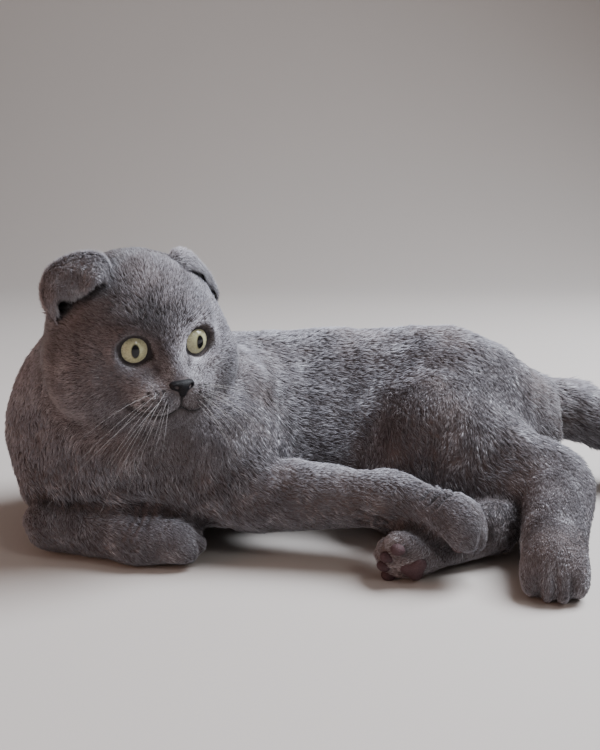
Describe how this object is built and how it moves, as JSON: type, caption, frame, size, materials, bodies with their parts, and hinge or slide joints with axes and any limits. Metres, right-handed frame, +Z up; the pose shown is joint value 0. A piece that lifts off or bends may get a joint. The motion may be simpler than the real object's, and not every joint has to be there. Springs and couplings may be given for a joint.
{
  "type": "scottish fold cat",
  "caption": "Life-size short-haired cat with folded ears, lying on its right hip with the chest raised, forelegs folded and stretched out, and head turned to its left.",
  "frame": {"origin": "on the floor under the middle of the loin, on the flat that the loin rests on", "axes": "+X along the body from the chest to the rump, -Y towards the side that the belly and paws face, +Z up"},
  "size_m": [0.4841, 0.2523, 0.1873],
  "materials": {
    "coat": "short, dense plush fur, blue-grey with paler tips",
    "eyes": "wet gloss over a pale yellow-green iris with an upright dark pupil",
    "nose": "dark slate nose leather, finely pebbled, slightly moist"
  },
  "bodies": {
    "root": {"head": "coat", "right_ear": "coat", "left_ear": "coat", "right_eye": "eyes", "left_eye": "eyes", "nose": "nose", "neck": "coat", "chest": "coat", "loin": "coat", "pelvis": "coat", "left_thigh": "coat", "right_thigh": "coat", "left_foreleg": "coat", "left_forepaw": "coat", "right_foreleg": "coat", "right_forepaw": "coat", "left_lower_leg": "coat", "left_hind_paw": "coat", "right_lower_leg": "coat", "right_hind_paw": "coat", "tail_root": "coat", "tail_middle": "coat", "tail_tip": "coat"}
  },
  "joints": []
}
